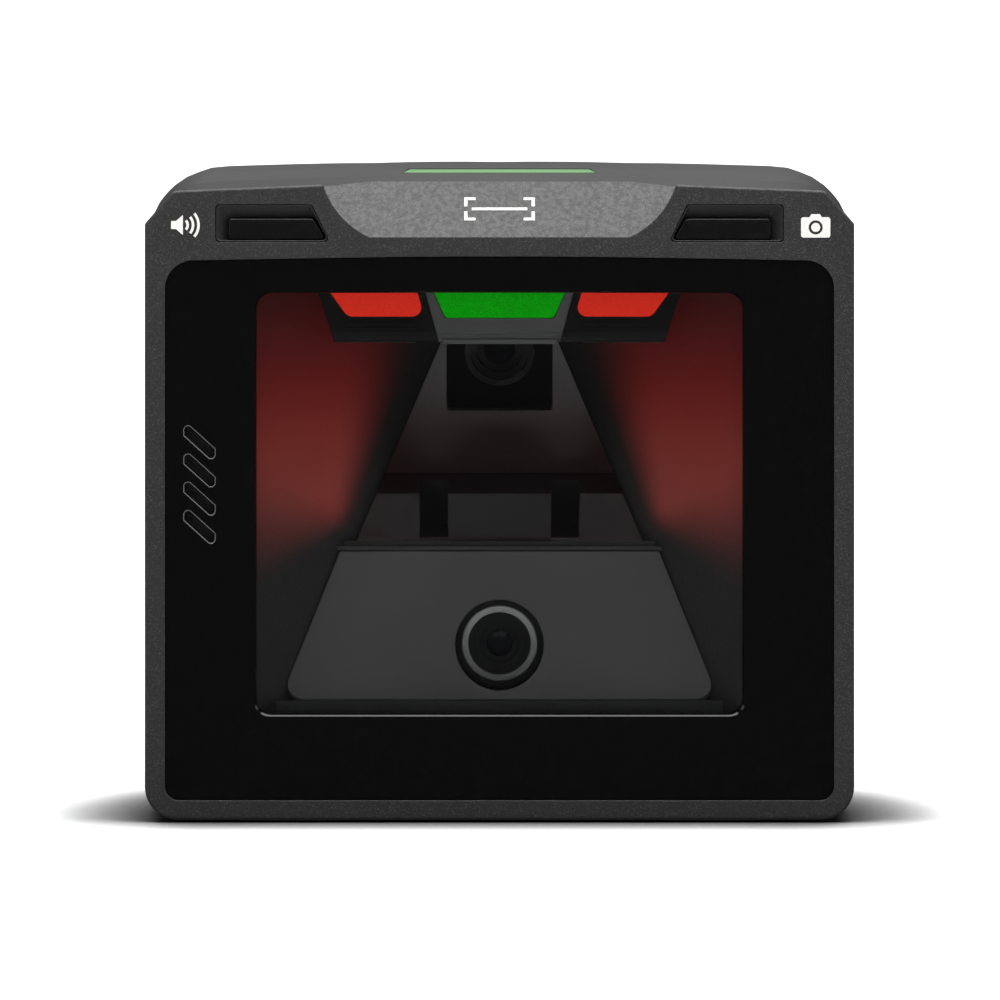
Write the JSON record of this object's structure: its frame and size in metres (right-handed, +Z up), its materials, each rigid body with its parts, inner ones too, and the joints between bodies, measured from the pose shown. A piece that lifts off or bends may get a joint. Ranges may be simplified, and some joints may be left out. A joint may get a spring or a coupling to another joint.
{
  "type": "presentation barcode scanner",
  "caption": "Free-standing vertical barcode scanner with a large scan window, a mirror-folded imager, a front camera, lit diffusers and sprung push buttons.",
  "frame": {"origin": "under the middle of the scanner, on the surface its rubber feet stand on", "axes": "+Z up, -Y towards the customer through the scan window, +X to the right seen from the front"},
  "size_m": [0.1522, 0.0841, 0.1417],
  "materials": {
    "frame_black": "fine-grained moulded plastic, dark charcoal",
    "cover_black": "fine-grained moulded plastic, dark charcoal",
    "gloss_black": "polished black plastic",
    "button_black": "polished black plastic",
    "window_glass": "clear coated glass",
    "chamber_black": "fine-textured matte black plastic",
    "panel_black": "satin matte black plastic",
    "mirror_glass": "first-surface mirror",
    "hood_grey": "satin dark grey plastic",
    "red_lens": "translucent red diffuser, frosted",
    "green_lens": "translucent green diffuser, frosted",
    "optic_black": "black anodised look, matte",
    "lens_glass": "coated lens glass",
    "ring_grey": "satin grey ring",
    "foam": "closed-cell foam",
    "board_green": "glass-epoxy circuit board with solder mask",
    "chip_black": "moulded chip package",
    "flex_amber": "polyimide film",
    "lamp_white": "lamp package",
    "steel": "plated steel",
    "aluminium": "extruded aluminium",
    "brass": "turned brass",
    "gold": "gold-plated contacts",
    "rubber": "soft black rubber",
    "mesh_black": "fine acoustic mesh",
    "cone_paper": "treated paper cone",
    "light_pipe": "translucent light pipe, frosted, lit green",
    "print_white": "pad-printed ink",
    "label_grey": "blank polyester label"
  },
  "bodies": {
    "scanner": {"front_frame": "frame_black", "window_bezel": "gloss_black", "scan_window": "window_glass", "window_gasket": "foam", "optics_chassis": "chamber_black", "lower_panel": "panel_black", "mirror_ledge": "panel_black", "fold_mirror": "mirror_glass", "mirror_carrier": "chamber_black", "ceiling_plate": "panel_black", "light_housing": "hood_grey", "red_diffuser_left": "red_lens", "red_diffuser_right": "red_lens", "green_diffuser": "green_lens", "led_board": "board_green", "red_leds": "lamp_white", "green_leds": "lamp_white", "imager_shroud": "optic_black", "imager_barrel": "optic_black", "imager_lens": "lens_glass", "imager_board": "board_green", "imager_flex": "flex_amber", "camera_holder": "optic_black", "camera_ring": "ring_grey", "camera_barrel": "optic_black", "camera_lens": "lens_glass", "camera_board": "board_green", "button_surround_left": "gloss_black", "button_surround_right": "gloss_black", "switch_bodies": "steel", "button_board": "board_green", "speaker_mesh": "mesh_black", "speaker_basket": "chip_black", "speaker_cone": "cone_paper", "rear_cover": "cover_black", "status_light_pipe": "light_pipe", "status_light_board": "board_green", "base_plate": "cover_black", "threaded_inserts": "brass", "base_screws": "steel", "rubber_feet": "rubber", "label_plate": "label_grey", "case_screws": "steel", "main_bracket": "steel", "main_board": "board_green", "board_screws": "steel", "processor": "chip_black", "heat_spreader": "aluminium", "board_parts": "chip_black", "host_port": "chip_black", "host_contacts": "gold", "aux_port": "steel", "aux_tongue": "chip_black", "scan_pictogram": "print_white", "speaker_icon": "print_white", "camera_icon": "print_white"},
    "volume_button": {"volume_button": "button_black", "volume_switch_plunger": "chip_black"},
    "camera_button": {"camera_button": "button_black", "camera_switch_plunger": "chip_black"}
  },
  "joints": [
    {"name": "volume_button_press", "type": "slide", "parent": "scanner", "child": "volume_button", "axis": [0, 1, 0], "range_m": [0, 0.0006], "stiffness_N_per_m": 1500, "springref_m": -0.0006},
    {"name": "camera_button_press", "type": "slide", "parent": "scanner", "child": "camera_button", "axis": [0, 1, 0], "range_m": [0, 0.0006], "stiffness_N_per_m": 1500, "springref_m": -0.0006}
  ]
}
